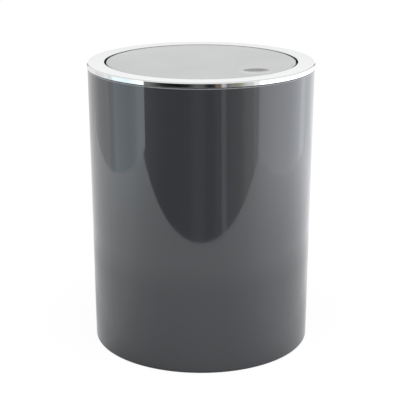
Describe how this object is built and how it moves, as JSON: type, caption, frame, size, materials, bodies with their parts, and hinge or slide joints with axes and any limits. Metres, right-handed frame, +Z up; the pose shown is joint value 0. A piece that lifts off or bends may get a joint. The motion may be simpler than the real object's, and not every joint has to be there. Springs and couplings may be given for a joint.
{
  "type": "swing-lid trash can",
  "caption": "Round tapered cosmetics bin with a lift-off plated ring and a counterweighted flap that swings both ways on two pins.",
  "frame": {"origin": "on the floor, under the centre of the bucket", "axes": "+Z up along the bucket's axis; the flap's pivot axis along X; the finger dish towards -Y"},
  "size_m": [0.185, 0.185, 0.236],
  "materials": {
    "bucket_plastic": "gloss",
    "plated_plastic": "polished",
    "flap_lacquer": "satin",
    "collar_plastic": "satin",
    "back_plastic": "satin",
    "pin_plastic": "satin",
    "bush_plastic": "satin",
    "weight_steel": "satin",
    "screw_steel": "satin"
  },
  "bodies": {
    "bucket": {"bucket": "bucket_plastic"},
    "lid_frame": {"chrome_ring": "plated_plastic", "hinge_collar": "collar_plastic", "ring_screws": "screw_steel", "pivot_bush_left": "bush_plastic", "pivot_bush_right": "bush_plastic"},
    "flap": {"flap_plate": "flap_lacquer", "flap_back": "back_plastic", "counterweight": "weight_steel", "flap_screws": "screw_steel", "pivot_pin_left": "pin_plastic", "pivot_pin_right": "pin_plastic"}
  },
  "joints": [
    {"name": "lid_lift", "type": "slide", "parent": "bucket", "child": "lid_frame", "axis": [0, 0, 1], "range_m": [0, 0.1]},
    {"name": "flap_swing", "type": "hinge", "parent": "lid_frame", "child": "flap", "pos_m": [0, 0, 0.2307], "axis": [1, 0, 0], "range_deg": [-80, 80]}
  ]
}
